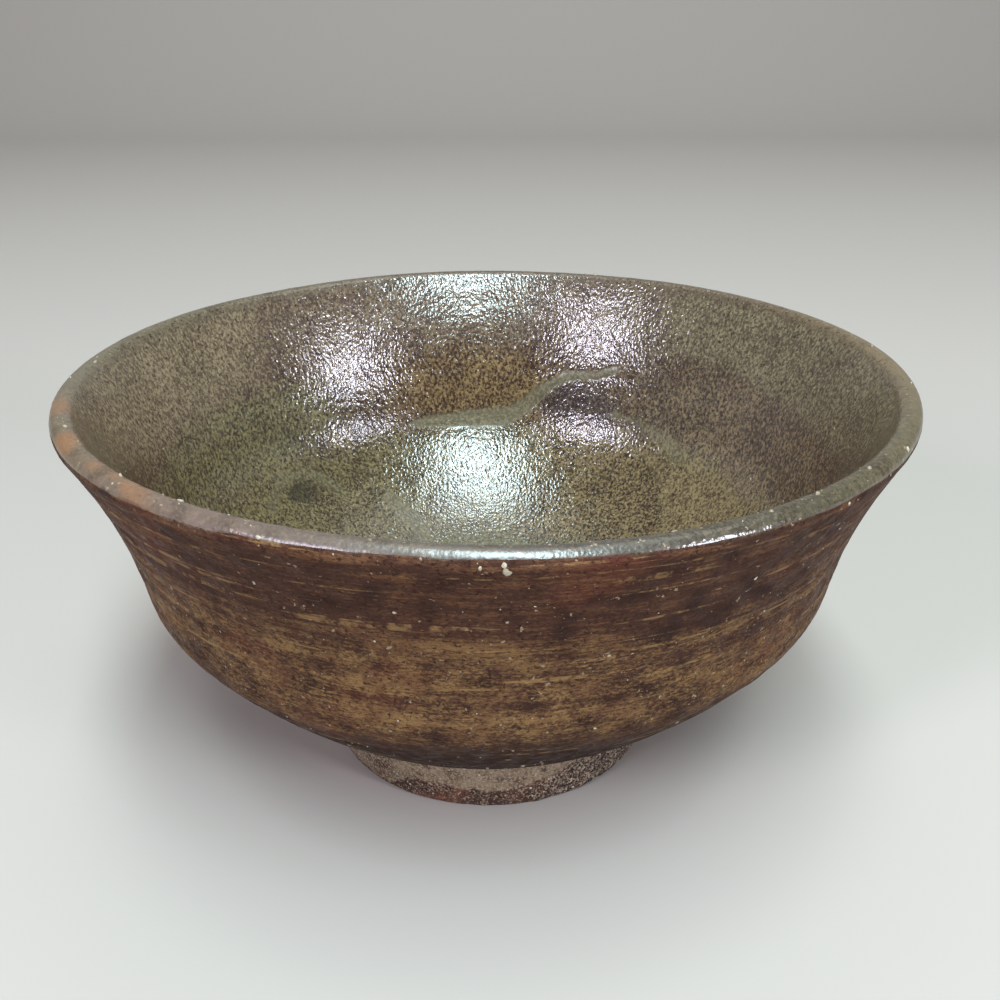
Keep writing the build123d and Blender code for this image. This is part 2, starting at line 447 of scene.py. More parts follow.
def spin(points, cols):
    """Section points (radius, height) turned round the axis: rows x cols x 3. The points are one
    section for all columns, or rows x cols of them."""
    az = np.arange(cols) / cols * 2 * pi
    if points.ndim == 2:
        points = np.repeat(points[:, None], cols, 1)
    r, z = points[..., 0], points[..., 1]
    return np.stack([r * np.cos(az), r * np.sin(az), z], -1)


def along_each(arcs, distances, left_is_out):
    """As along, for rows x cols of distances."""
    steps = np.linspace(0, length_of(arcs), 3000)
    points, normals = along(arcs, steps, left_is_out)
    return [
        np.stack([np.interp(distances, steps, table[:, k]) for k in range(2)], -1)
        for table in (points, normals)
    ]


def attributes_of(ground, fleck, cover, smooth, streak=None):
    """The values that a fired material reads, one for each vertex."""
    return {
        "ground": ground.reshape(-1, 3),
        "fleck": fleck.reshape(-1, 3),
        "cover": cover.reshape(-1),
        "smooth": smooth.reshape(-1),
        "streak": np.zeros(cover.size) if streak is None else streak.reshape(-1),
    }


def tone_attributes(p, reach):
    return attributes_of(*tone(p, reach))


def with_backing(attributes, count):
    """The attributes of a skin, with the last vertex's repeated for count vertices behind it."""
    return {key: np.concatenate([v, np.repeat(v[-1:], count, 0)]) for key, v in attributes.items()}


def fan(first, cols, pole):
    """Triangles from the ring of vertices that starts at first to one vertex."""
    return [(first + j, first + (j + 1) % cols, pole) for j in range(cols)]


# ---- materials
class Nodes:
    """A short way to wire a node material."""

    def __init__(self, name):
        self.material = bpy.data.materials.new(name)
        self.material.use_nodes = True
        self.tree = self.material.node_tree
        self.tree.nodes.clear()
        self.output = self.tree.nodes.new("ShaderNodeOutputMaterial")
        self.shader = self.tree.nodes.new("ShaderNodeBsdfPrincipled")
        self.tree.links.new(self.shader.outputs[0], self.output.inputs[0])
        self.place = self.tree.nodes.new("ShaderNodeTexCoord").outputs["Object"]

    def put(self, socket, value):
        if isinstance(value, bpy.types.NodeSocket):
            self.tree.links.new(value, socket)
        else:
            socket.default_value = value

    def attribute(self, name, output="Fac"):
        node = self.tree.nodes.new("ShaderNodeAttribute")
        node.attribute_name = name
        return node.outputs[output]

    def math(self, operation, a, b=0.0):
        node = self.tree.nodes.new("ShaderNodeMath")
        node.operation = operation
        self.put(node.inputs[0], a)
        self.put(node.inputs[1], b)
        return node.outputs[0]

    def blend(self, a, b, factor):
        """a where factor is 0, b where it is 1, for single values."""
        node = self.tree.nodes.new("ShaderNodeMix")
        self.put(node.inputs[0], factor)
        self.put(node.inputs[2], a)
        self.put(node.inputs[3], b)
        return node.outputs[0]

    def span(self, value, low, high, to_low=0.0, to_high=1.0):
        """A smooth step of value from low to high."""
        node = self.tree.nodes.new("ShaderNodeMapRange")
        node.interpolation_type = "SMOOTHSTEP"
        for k, v in enumerate((value, low, high, to_low, to_high)):
            self.put(node.inputs[k], v)
        return node.outputs[0]

    def noise(self, wavelength, detail=2.0, roughness=0.55, squash=None, shift=0.0):
        """Noise at a wavelength in millimetres; squash scales x, y and z before it."""
        node = self.tree.nodes.new("ShaderNodeTexNoise")
        mapping = self.tree.nodes.new("ShaderNodeMapping")
        self.tree.links.new(self.place, mapping.inputs["Vector"])
        mapping.inputs["Scale"].default_value = squash or (1, 1, 1)
        mapping.inputs["Location"].default_value = (shift, shift * 0.7, shift * 0.3)
        self.tree.links.new(mapping.outputs[0], node.inputs["Vector"])
        node.inputs["Scale"].default_value = 1 / (wavelength * MM)
        node.inputs["Detail"].default_value = detail
        node.inputs["Roughness"].default_value = roughness
        return node.outputs["Fac"]

    def mix(self, a, b, factor):
        node = self.tree.nodes.new("ShaderNodeMix")
        node.data_type = "RGBA"
        self.put(node.inputs["Factor"], factor)
        self.put(node.inputs[6], a)
        self.put(node.inputs[7], b)
        return node.outputs[2]

    def bump(self, height, depth, normal=None):
        node = self.tree.nodes.new("ShaderNodeBump")
        node.inputs["Strength"].default_value = 1.0
        node.inputs["Distance"].default_value = depth
        self.put(node.inputs["Height"], height)
        if normal is not None:
            self.tree.links.new(normal, node.inputs["Normal"])
        return node.outputs[0]


def colour(red, green, blue):
    return (*srgb(red, green, blue), 1.0)


# Colours that every fired surface shares, and the width in mm of the streaks round the bowl
DARK_MOTTLE = colour(44, 23, 20)
IRON_SPOT = colour(44, 27, 23)
PALE_DUST = colour(164, 146, 122)
ASH_THREAD = colour(150, 118, 78)
LINE_WIDTH = 0.6


def fired_material(name, pebble, depth, rough, gloss, ior, pale=0.72, speck=0.6, stretch=1.0, grit=0.0,
                   calming=0.85, threads=0.0, crisp=0.06):
    """Fired clay or glaze. pebble and depth are the skin's bumps in mm, rough and gloss the roughness
    of pebbled and of smooth glaze, pale the noise level above which a pale speck shows, speck the
    width of the colour specks in mm, stretch how much longer all of these are downwards, and grit
    the height of coarse bumps in mm. calming is how far smooth glaze flattens the pebbles, and
    threads the strength of thin pale lines of ash round the bowl. crisp is how wide a range of
    noise the specks fade over."""
    n = Nodes(name)
    down = (1.0, 1.0, 1.0 / stretch)
    ground, fleck = n.attribute("ground", "Color"), n.attribute("fleck", "Color")
    cover, smooth, streak = n.attribute("cover"), n.attribute("smooth"), n.attribute("streak")

    speckle = n.noise(speck, 3.0, 0.72, squash=down)
    lines = n.noise(LINE_WIDTH, 4.0, 0.72, squash=(0.05, 0.05, 1.0), shift=0.3)
    level = n.blend(speckle, lines, streak)
    level = n.math("ADD", level, n.math("MULTIPLY", n.math("SUBTRACT", cover, 0.5), 0.34))
    tinted = n.mix(ground, fleck, n.span(level, 0.5 - crisp, 0.5 + crisp))

    calm = n.math("SUBTRACT", 1.0, n.math("MULTIPLY", smooth, calming))
    mottle = n.math("MULTIPLY", n.span(n.noise(1.5, 5.0, 0.75, shift=0.11), 0.54, 0.62), 0.4)
    tinted = n.mix(tinted, DARK_MOTTLE, n.math("MULTIPLY", mottle, calm))
    iron = n.math("MULTIPLY", n.span(n.noise(0.6, 3.0, 0.65, shift=0.23), 0.57, 0.64), 0.8)
    tinted = n.mix(tinted, IRON_SPOT, n.math("MULTIPLY", iron, calm))
    dust = n.span(n.noise(1.0, 2.0, 0.6, shift=0.37), pale, pale + 0.05)
    tinted = n.mix(tinted, PALE_DUST, n.math("MULTIPLY", dust, 0.65))
    if threads:
        thread = n.span(n.noise(1.0, 2.0, 0.5, squash=(0.03, 0.03, 1.0), shift=0.67), 0.62, 0.67)
        broken = n.span(n.noise(2.4, 3.0, 0.7, shift=0.73), 0.42, 0.58)
        worn = n.math("MULTIPLY", n.math("MULTIPLY", thread, broken), threads)
        tinted = n.mix(tinted, ASH_THREAD, worn)
    n.put(n.shader.inputs["Base Color"], tinted)

    wander = n.span(n.noise(pebble * 3.2, 2.0, 0.5, shift=0.53), 0.3, 0.7, rough * 0.8, rough * 1.25)
    n.put(n.shader.inputs["Roughness"], n.blend(wander, gloss, smooth))
    skin = n.noise(pebble, 1.5, 0.5, squash=down, shift=0.41)
    normal = n.bump(n.math("MULTIPLY", skin, calm), depth * MM)
    if grit:
        normal = n.bump(n.noise(1.1, 4.0, 0.7, shift=0.6), grit * MM, normal)
    n.put(n.shader.inputs["Normal"], normal)
    n.shader.inputs["IOR"].default_value = ior
    return n.material


def feldspar_material():
    """Pale crystals, stained brown in places."""
    n = Nodes("feldspar")
    stain = n.span(n.noise(0.7, 3.0, 0.6), 0.4, 0.66)
    tinted = n.mix(colour(96, 76, 60), colour(204, 194, 172), n.attribute("tint"))
    tinted = n.mix(tinted, colour(128, 98, 72), n.math("MULTIPLY", stain, 0.55))
    n.put(n.shader.inputs["Base Color"], tinted)
    n.put(n.shader.inputs["Roughness"], n.span(n.noise(0.8, 2.0, 0.5, shift=0.4), 0.3, 0.7, 0.3, 0.55))
    n.put(n.shader.inputs["Normal"], n.bump(n.noise(0.25, 2.0, 0.6), 0.05 * MM))
    return n.material


OUTSIDE_MATERIAL = fired_material(
    "outside_coat", pebble=0.65, depth=0.2, rough=0.6, gloss=0.35, ior=1.15,
    pale=0.68, speck=0.75, stretch=0.5, threads=0.55, crisp=0.12,
)
INSIDE_MATERIAL = fired_material(
    "inside_coat", pebble=0.6, depth=0.165, rough=0.14, gloss=0.3, ior=1.8,
    speck=0.55, stretch=1.4, crisp=0.13,
)
LIP_MATERIAL = fired_material(
    "lip_coat", pebble=0.7, depth=0.18, rough=0.12, gloss=0.32, ior=1.8,
    pale=0.68, speck=0.6, calming=0.7, crisp=0.11,
)
ASH_MATERIAL = fired_material("ash_glass", pebble=0.8, depth=0.08, rough=0.4, gloss=0.42, ior=1.4)
CLAY_MATERIAL = fired_material("clay", pebble=0.6, depth=0.12, rough=0.8, gloss=0.7, ior=1.35, grit=0.15)
BARE_MATERIAL = fired_material(
    "bare_clay", pebble=0.5, depth=0.35, rough=0.6, gloss=0.6, ior=1.35,
    pale=0.63, speck=0.42, grit=0.5, crisp=0.09,
)
FELDSPAR = feldspar_material()

# ---- the coats
COLS = 560
LIP_HALF = LIP_R * pi / 2
# Rows this close together at a coat's rim keep its shading level with the next coat's
SEAM_STEP = 0.05 * MM
# The outside coat's arcs start this far over the lip, measured from the middle of its round
LIP_START = 0.3 * MM
OVER_LIP = pi / 2 - LIP_START / LIP_R
# How far the lip's own glaze comes down from there: (azimuth in degrees, distance in mm)
LIP_EDGES = (
    (0, 1.55), (180, 1.45), (215, 1.55), (240, 1.35), (262, 0.95),
    (285, 1.05), (305, 1.6), (330, 1.7), (360, 1.55),
)
# The outside coat's rolled edge stops this far short of the foot, and the roll is this long
EDGE_SHORT = 0.8 * MM
EDGE_ROLL = 3.2 * MM
# The share of its length that the inside coat runs before a fan of faces closes it at the axis
TO_AXIS = 0.985


def lip_edge(az):
    """How far over the lip, from the middle of its round, the lip's own glaze comes down."""
    stops, depths = zip(*LIP_EDGES)
    turn = np.radians(az)
    ring = np.stack([np.cos(turn), np.sin(turn), 0 * turn], -1) * RIM_R
    return (np.interp(az, stops, depths) + 0.2 * fbm(ring, 4 * MM, 3, 151)) * MM


def outside_coat():
    """The coat from the ragged edge of the lip's glaze down to its rolled edge above the foot."""
    arcs, backing = outside_arcs(0.0, OVER_LIP), outside_arcs(GLAZE_T, OVER_LIP)
    total = length_of(arcs) - EDGE_SHORT
    rows, back_rows = 130, 18
    edges = lip_edge(np.arange(COLS) / COLS * 360) - LIP_START
    share = np.concatenate([[0, 0.0006], np.linspace(0.004, 1, rows - 2)])[:, None]
    distances = edges + (total - edges) * share
    section, normals = along_each(arcs, distances, True)
    front = spin(section, COLS)
    out = spin(normals, COLS)
    reach = LIP_START + distances
    # the coat rolls into a thicker, uneven edge above the foot
    edge = smoothstep(total - EDGE_ROLL, total - 0.6 * MM, distances)
    roll = edge * (0.14 + 0.16 * fbm(front, 5 * MM, 2, 83)) * MM
    turn_in = smoothstep(total - 0.6 * MM, total, distances) * 0.35 * MM
    attributes = tone_attributes(front, reach)
    front = front + out * (relief(front, reach) + roll - turn_in)[..., None]
    back_share = np.linspace(1, 0, back_rows)[:, None]
    back_edges = edges * (1 - GLAZE_T / LIP_R)
    back_distances = back_edges + (length_of(backing) - EDGE_SHORT - back_edges) * back_share
    back = spin(along_each(backing, back_distances, True)[0], COLS)
    attributes = with_backing(attributes, back_rows * COLS)
    vertices = np.concatenate([front, back]).reshape(-1, 3)
    add_mesh("outside_glaze_skin", settle(vertices), ring_faces(rows + back_rows, COLS, True),
             attributes, OUTSIDE_MATERIAL, "outside_glaze",
             closing_strips(rows, back_rows, COLS))


def inside_coat():
    """The coat from the lip down to the axis."""
    arcs, backing = inside_arcs(), inside_arcs(GLAZE_T)
    total = length_of(arcs)
    rows, back_rows = 140, 16
    distances = np.concatenate([[0, SEAM_STEP], np.linspace(6 * SEAM_STEP, total * TO_AXIS, rows - 2)])
    section, normals = along(arcs, distances, False)
    front = spin(section, COLS)
    out = spin(normals, COLS)
    reach = np.broadcast_to(-(LIP_HALF + distances)[:, None], front.shape[:2])
    attributes = tone_attributes(front, reach)
    front = front + out * relief(front, reach)[..., None]
    back_section, _ = along(backing, np.linspace(length_of(backing) * TO_AXIS, 0, back_rows), False)
    back = spin(back_section, COLS)
    centre = np.array([[0, 0, front[-1, :, 2].mean()], [0, 0, back[0, :, 2].mean()]])
    vertices = np.concatenate([front.reshape(-1, 3), back.reshape(-1, 3), centre])
    faces = ring_faces(rows, COLS, False)
    start = rows * COLS
    faces += [tuple(start + k for k in face) for face in ring_faces(back_rows, COLS, False)]
    last_back = start + (back_rows - 1) * COLS
    pole, back_pole = len(vertices) - 2, len(vertices) - 1
    rim_faces = range(len(faces), len(faces) + COLS)
    faces += [(j, (j + 1) % COLS, last_back + (j + 1) % COLS, last_back + j) for j in range(COLS)]
    faces += fan((rows - 1) * COLS, COLS, pole) + fan(start, COLS, back_pole)
    attributes = with_backing(attributes, back_rows * COLS + 2)
    add_mesh("inside_glaze_skin", settle(vertices), faces, attributes,
             INSIDE_MATERIAL, "inside_glaze", rim_faces)


def lip_coat():
    """The thin coat over the round of the lip, smooth outside and pebbled towards the inside."""
    rows, back_rows = 44, 8
    first, last = LIP_SLOPE - lip_edge(np.arange(COLS) / COLS * 360) / LIP_R, LIP_SLOPE + pi / 2
    tilt = (first + last) / 2 - (last - first) / 2 * np.cos(np.linspace(0, pi, rows))[:, None]
    normals = directions(tilt)
    front = spin(LIP_CENTRE + normals * LIP_R, COLS)
    out = spin(normals, COLS)
    reach = (LIP_SLOPE - tilt) * LIP_R
    attributes = tone_attributes(front, reach)
    # rougher at the front right
    melted = 1.0 - 0.6 * np.exp(-(((azimuth_of(front) - 304) / 24) ** 2))
    attributes["smooth"] = (melted * smoothstep(-2.4 * MM, -0.6 * MM, reach)).reshape(-1)
    front = front + out * relief(front, reach)[..., None]
    back_tilt = last + (first - last) * np.linspace(0, 1, back_rows)[:, None]
    back = spin(LIP_CENTRE + directions(back_tilt) * (LIP_R - GLAZE_T), COLS)
    attributes = with_backing(attributes, back_rows * COLS)
    vertices = np.concatenate([front, back]).reshape(-1, 3)
    add_mesh("lip_glaze_skin", settle(vertices), ring_faces(rows + back_rows, COLS, True),
             attributes, LIP_MATERIAL, "lip_glaze",
             closing_strips(rows, back_rows, COLS))


outside_coat()
inside_coat()
lip_coat()


# ---- foot and clay
# How far the slip smooths the bumps of the clay under it
SLIP_SMOOTH = 0.3


def foot_tone(p):
    """Cream slip left under the glaze line in front, over coarse red-brown clay."""
    az, z = azimuth_of(p), p[..., 2] / MM
    warp = fbm(p, 6 * MM, 3, 91)
    fine = fbm(p, 1.3 * MM, 3, 97)
    ground = mix(even(p, 70, 47, 38), srgb(106, 66, 50), smoothstep(-0.1, 0.5, warp))
    ground = mix(ground, srgb(40, 28, 25), smoothstep(0.0, 0.5, fine))
    ground = mix(ground, srgb(140, 88, 64), smoothstep(0.3, 0.6, -fine) * smoothstep(4.5, 3.0, z))
    turn = (az - 264 + 180) % 360 - 180
    left = smoothstep(246, 232, az) * smoothstep(178, 190, az)
    slip_edge = mix(4.2 + (turn / 26) ** 4, 1.2, left) + 0.6 * warp + 0.7 * fine
    shown = 1 - smoothstep(36, 46, turn)
    slip = smoothstep(slip_edge - 0.3, slip_edge + 0.5, z) * mix(shown, 1.0, left) * (np.abs(turn) < 86)
    slip_tone = even(p, 146, 126, 102)
    slip_tone = mix(slip_tone, srgb(92, 70, 54), smoothstep(-0.15, 0.45, fine))
    slip_tone = mix(slip_tone, srgb(112, 98, 76), np.maximum(left * 0.7, smoothstep(9.0, 10.4, z + warp)))
    ground = mix(ground, slip_tone, slip)
    rust = patch(az, z, (229, 4.8), (7, 3.4), 0.3)
    ground = mix(ground, srgb(74, 42, 34), rust * 0.9)
    fleck = mix(even(p, 184, 158, 134), srgb(168, 150, 126), slip)
    sandy = smoothstep(282, 298, az) * smoothstep(350, 335, az)
    ground = mix(ground, srgb(46, 36, 34), sandy * (1 - slip))
    cover = mix(0.26 + 0.12 * sandy + 0.2 * fine, 0.42, slip)
    return attributes_of(ground, fleck, cover, slip * SLIP_SMOOTH), slip


def rounded(points, radius, per_corner):
    """A section whose listed corners are rounded: points are (r, z, round or not)."""
    out = []
    for i, (r, z, round_it) in enumerate(points):
        here = np.array([r, z])
        if not round_it:
            out.append(here)
            continue
        before, after = np.array(points[i - 1][:2]), np.array(points[(i + 1) % len(points)][:2])
        a, b = (before - here) / np.linalg.norm(before - here), (after - here) / np.linalg.norm(after - here)
        reach = radius / np.tan(np.arccos(np.clip(a @ b, -1, 1)) / 2)
        start, end = here + a * reach, here + b * reach
        for t in np.linspace(0, 1, per_corner):
            out.append((1 - t) ** 2 * start + 2 * t * (1 - t) * here + t * t * end)
    return np.array(out)


def resample(points, step):
    """Points along a polyline, at most step apart, that keep its corners."""
    out = []
    for a, b in zip(points[:-1], points[1:]):
        count = max(1, int(np.ceil(np.linalg.norm(b - a) / step)))
        out += [a + (b - a) * k / count for k in range(count)]
    return np.array(out + [points[-1]])


def foot():
    """The bare foot ring: gritty, turned, and chipped along its lower edge."""
    corners = [
        (FOOT_TOP_R, FOOT_H, False),
        (FOOT_BASE_R, 0.0, True),
        (FOOT_BORE_BASE_R, 0.0, True),
        (FOOT_BORE_R, FOOT_H, False),
    ]
    loop = rounded(corners, FOOT_EDGE_R, 7)
    cols = 480
    worked = resample(loop, 0.33 * MM)
    top = resample(np.array([worked[-1], worked[0]]), 2.5 * MM)[1:-1]
    section = np.concatenate([worked, top])
    base = spin(section, cols)
    tangent = np.roll(section, -1, 0) - np.roll(section, 1, 0)
    normal = np.stack([-tangent[:, 1], tangent[:, 0]], -1)
    normal /= np.linalg.norm(normal, axis=1)[:, None]
    middle = section.mean(0)
    if ((section - middle) * normal).sum() < 0:
        normal = -normal
    out = spin(normal, cols)
    amount = np.ones(len(section))
    amount[len(worked):] = 0
    height = section[:, 1]
    amount *= smoothstep(0, 0.6 * MM, height) * 0.9 + 0.1
    near_top = smoothstep(FOOT_H, FOOT_H - 0.5 * MM, height)
    coarse = 0.30 * fbm(base, 2.6 * MM, 3, 101) + 0.13 * fbm(base, 1.0 * MM, 2, 103)
    # tool lines from turning, and chips knocked out of the lower edge
    tool = 0.10 * rings(base, 1.6 * MM, 107)
    low_edge = smoothstep(3.2 * MM, 0.3 * MM, base[..., 2])
    chip = -0.8 * smoothstep(0.25, 0.6, fbm(base, 3.4 * MM, 2, 109)) * low_edge
    attributes, slip = foot_tone(base)
    shift = (coarse * (1 - 0.75 * slip) + tool + chip) * MM
    shift *= (amount * near_top)[:, None]
    vertices = base + out * shift[..., None]
    vertices[..., 2] = np.maximum(vertices[..., 2], 0.0)
    add_mesh("foot_ring_clay", vertices.reshape(-1, 3), ring_faces(len(section), cols, True),
             attributes, BARE_MATERIAL, "foot_ring")


def clay():
    """The clay between the coats, and the turned underside inside the foot ring."""
    cols = 360
    outer_arcs = outside_arcs(GLAZE_T)
    outer, _ = along(outer_arcs, np.linspace(0, length_of(outer_arcs), 26), True)
    inner_arcs = inside_arcs(GLAZE_T)
    inner, _ = along(inner_arcs, np.linspace(0, length_of(inner_arcs) * TO_AXIS, 26), False)
    tilt = np.linspace(LIP_SLOPE + pi / 2, LIP_SLOPE - pi / 2, 8)[1:-1]
    lip = LIP_CENTRE + directions(tilt) * (LIP_R - GLAZE_T)
    under_r = np.linspace(outer[-1][0], 0.4 * MM, 72)[1:]
    dome = 0.5 * MM * smoothstep(FOOT_BORE_R, NIPPLE_R, under_r)
    nipple = NIPPLE_DROP * smoothstep(NIPPLE_R, NIPPLE_R * 0.25, under_r)
    under = np.stack([under_r, FOOT_H + dome - nipple], -1)
    section = np.concatenate([inner[::-1], lip, outer, under])
    worked = len(section) - len(under)
    base = spin(section, cols)
    spiral_phase = np.hypot(base[..., 0], base[..., 1]) / (1.5 * MM) * 2 * pi + np.radians(azimuth_of(base))
    groove = np.zeros(base.shape[:2])
    inside_ring = (section[worked:, 0] < FOOT_BORE_R * 0.97)[:, None]
    groove[worked:] = 0.09 * MM * np.sin(spiral_phase[worked:]) * inside_ring
    groove[worked:] += 0.1 * MM * fbm(base[worked:], 2.4 * MM, 3, 113) * inside_ring
    base[..., 2] += groove
    poles = np.array([[0, 0, base[0, :, 2].mean()], [0, 0, base[-1, :, 2].mean()]])
    vertices = np.concatenate([base.reshape(-1, 3), poles])
    faces = ring_faces(len(section), cols, False)
    last = (len(section) - 1) * cols
    faces += fan(0, cols, len(vertices) - 2) + fan(last, cols, len(vertices) - 1)
    warp = fbm(vertices, 6 * MM, 3, 127)
    ground = even(vertices, 104, 68, 52)
    ground = mix(ground, srgb(134, 88, 64), smoothstep(-0.3, 0.5, warp))
    beside_foot = smoothstep(FOOT_H + 2.5 * MM, FOOT_H + 1.0 * MM, vertices[:, 2])
    beside_foot *= smoothstep(FOOT_BORE_R, FOOT_TOP_R, np.hypot(vertices[:, 0], vertices[:, 1]))
    ground = mix(ground, srgb(92, 80, 62), beside_foot)
    fleck = even(vertices, 166, 140, 118)
    attributes = attributes_of(ground, fleck, 0.26 + 0.1 * warp, np.zeros(len(vertices)))
    add_mesh("clay_wall_and_floor", settle(vertices), faces, attributes,
             CLAY_MATERIAL, "clay_body")


foot()
clay()

# ---- grains
rng = np.random.default_rng(20)
# A crystal's size as a share of the box round the CAD one
CRYSTAL_SHARE = 0.66


def grain_centres(node):
    """The centre and size of each separate crystal of a CAD node."""
    bm = bmesh.new()
    bm.from_mesh(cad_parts[node].data)
    bmesh.ops.remove_doubles(bm, verts=bm.verts, dist=1e-6)
    seen, found = set(), []
    for vertex in bm.verts:
        if vertex in seen:
            continue
        group, queue = [], [vertex]
        seen.add(vertex)
        while queue:
            here = queue.pop()
            group.append(here.co.copy())
            for edge in here.link_edges:
                other = edge.other_vert(here)
                if other not in seen:
                    seen.add(other)
                    queue.append(other)
        co = np.array(group)
        found.append(((co.max(0) + co.min(0)) / 2, (co.max(0) - co.min(0)).max() * CRYSTAL_SHARE))
    bm.free()
    return sorted(found, key=lambda item: tuple(np.round(item[0], 6)))


def chip_template():
    """The ball that each crystal is broken from."""
    bm = bmesh.new()
    bmesh.ops.create_icosphere(bm, subdivisions=2, radius=0.5)
    vertices = np.array([v.co for v in bm.verts])
    faces = [[v.index for v in f.verts] for f in bm.faces]
    bm.free()
    return vertices, faces


CHIP, CHIP_FACES = chip_template()


def chips(name, spots, replaced, pale_from=0.0):
    """Irregular crystals, one at each spot (centre, size). Below pale_from they are stained darker."""
    vertices, faces, tint = [], [], []
    for centre, size in spots:
        shape = CHIP * rng.uniform(0.75, 1.2, 3)
        # flats, as on a broken crystal
        for _ in range(4):
            axis = rng.normal(size=3)
            axis /= np.linalg.norm(axis)
            over = np.maximum(shape @ axis - rng.uniform(0.22, 0.38), 0)
            shape = shape - over[:, None] * axis
        shape = shape * (1 + 0.12 * value_noise(shape * 4 + rng.uniform(0, 50, 3), 131))[:, None]
        # worn flush with the skin around it
        facing = np.array([centre[0], centre[1], 0.0]) / np.hypot(centre[0], centre[1])
        shape = shape - 0.35 * (shape @ facing)[:, None] * facing
        start = len(vertices) * len(CHIP)
        vertices.append(shape * size + centre)
        faces += [[start + k for k in face] for face in CHIP_FACES]
        stained = 0.35 + 0.65 * smoothstep(pale_from - 8 * MM, pale_from + 8 * MM, centre[2])
        tint += [rng.uniform(0.15, 0.95) * stained] * len(CHIP)
    points = settle(np.concatenate(vertices))
    points[:, 2] = np.maximum(points[:, 2], 0.05 * MM)
    add_mesh(name, points, faces, {"tint": np.array(tint)}, FELDSPAR, replaced)


def scattered(arcs, left_is_out, count, low, high, sizes, keep=None):
    """Extra grains on a wall: most are small. low and high are shares of the wall's length."""
    spots = []
    total = length_of(arcs)
    while len(spots) < count:
        share = rng.uniform(low, high)
        az = rng.uniform(0, 2 * pi)
        size = (sizes[0] + (sizes[1] - sizes[0]) * rng.uniform() ** 3) * MM
        if keep is not None and rng.uniform() > keep(np.degrees(az), share):
            continue
        point, normal = along(arcs, [share * total], left_is_out)
        r, z = point[0] - normal[0] * size * 0.28
        spots.append((np.array([r * cos(az), r * sin(az), z]), size))
    return spots


def right_back(az, share):
    """Grains crowd the right-hand side of the inside wall."""
    turn = (az - 20 + 180) % 360 - 180
    return 0.35 + 0.65 * np.exp(-((turn / 45) ** 2)) * (1 - share)


outside_spots = grain_centres("outside_grains")
outside_spots += scattered(outside_arcs(), True, 620, 0.03, 0.95, (0.26, 1.0))
chips("outside_feldspar", outside_spots, "outside_grains", 26 * MM)
inside_spots = grain_centres("inside_grains")
inside_spots += scattered(inside_arcs(), False, 330, 0.02, 0.62, (0.22, 0.6), right_back)
chips("inside_feldspar", inside_spots, "inside_grains")


def lip_scatter(count):
    """Grains over the round of the lip."""
    spots = []
    for _ in range(count):
        tilt, az = rng.uniform(-0.3, 2.2), rng.uniform(0, 2 * pi)
        size = (0.25 + 1.05 * rng.uniform() ** 3) * MM
        r, z = LIP_CENTRE + directions(tilt) * (LIP_R - size * 0.15)
        spots.append((np.array([r * cos(az), r * sin(az), z]), size))
    return spots


def foot_scatter(count):
    """Grit in the flank of the foot, more than half of it at the front right."""
    spots = []
    for _ in range(count):
        height, az = FOOT_H * rng.uniform(0.06, 0.9), rng.uniform(0, 2 * pi)
        if rng.uniform() < 0.55:
            az = radians(rng.uniform(284, 345))
        size = (0.24 + 0.46 * rng.uniform() ** 2) * MM
        r = FOOT_BASE_R + (FOOT_TOP_R - FOOT_BASE_R) * height / FOOT_H - size * 0.1
        if height < FOOT_EDGE_R:
            r -= FOOT_EDGE_R * 0.3
        spots.append((np.array([r * cos(az), r * sin(az), height]), size))
    return spots


chips("lip_feldspar", grain_centres("lip_grains") + lip_scatter(110), "lip_grains")
chips("foot_quartz_grit", grain_centres("foot_grit") + foot_scatter(760), "foot_grit")


# ---- ash run and pool
def ash_pool():
    """Melted ash in the bottom: a level disc whose edge climbs the floor a little."""
    cols, rows, low_rows = 240, 40, 8
    radius = POOL_BOX[1].x * 1.02
    level = POOL_BOX[1].z
    floor_centre = POOL_BOX[0].z - 0.15 * MM
    r = np.linspace(radius, 0.4 * MM, rows)
    meniscus = 0.22 * MM * smoothstep(0.86, 1.0, r / radius)
    top = spin(np.stack([r, np.full(rows, level) - meniscus], -1), cols)
    az = np.arange(cols) / cols * 2 * pi
    shore = waves(az, ((0.05, 2, 1.0), (0.04, 3, 0.0), (0.02, 7, 2.0)))
    spread = 1 + shore[None] * smoothstep(0.3, 1.0, r / radius)[:, None]
    top[..., 0] *= spread
    top[..., 1] *= spread
    top[..., 2] += 0.03 * MM * fbm(top, 6 * MM, 2, 137)
    low_r = np.linspace(0.4 * MM, radius * 0.9, low_rows)
    bottom = spin(np.stack([low_r, np.full(low_rows, floor_centre)], -1), cols)
    vertices = np.concatenate([top.reshape(-1, 3), bottom.reshape(-1, 3),
                               [[0, 0, top[-1, :, 2].mean()], [0, 0, floor_centre]]])
    faces = ring_faces(rows, cols, False)
    start = rows * cols
    faces += [tuple(start + k for k in face) for face in ring_faces(low_rows, cols, False)]
    last = start + (low_rows - 1) * cols
    faces += [(j, (j + 1) % cols, last + (j + 1) % cols, last + j) for j in range(cols)]
    faces += fan((rows - 1) * cols, cols, len(vertices) - 2) + fan(start, cols, len(vertices) - 1)
    warp = fbm(vertices, 5 * MM, 3, 139)
    ground = even(vertices, 70, 72, 44)
    ground = mix(ground, srgb(98, 98, 62), smoothstep(-0.4, 0.5, warp))
    fleck = even(vertices, 128, 126, 84)
    attributes = attributes_of(ground, fleck, 0.3 + 0.2 * warp, np.full(len(vertices), 0.9))
    add_mesh("ash_glass_pool", vertices, faces, attributes, ASH_MATERIAL, "ash_pool")


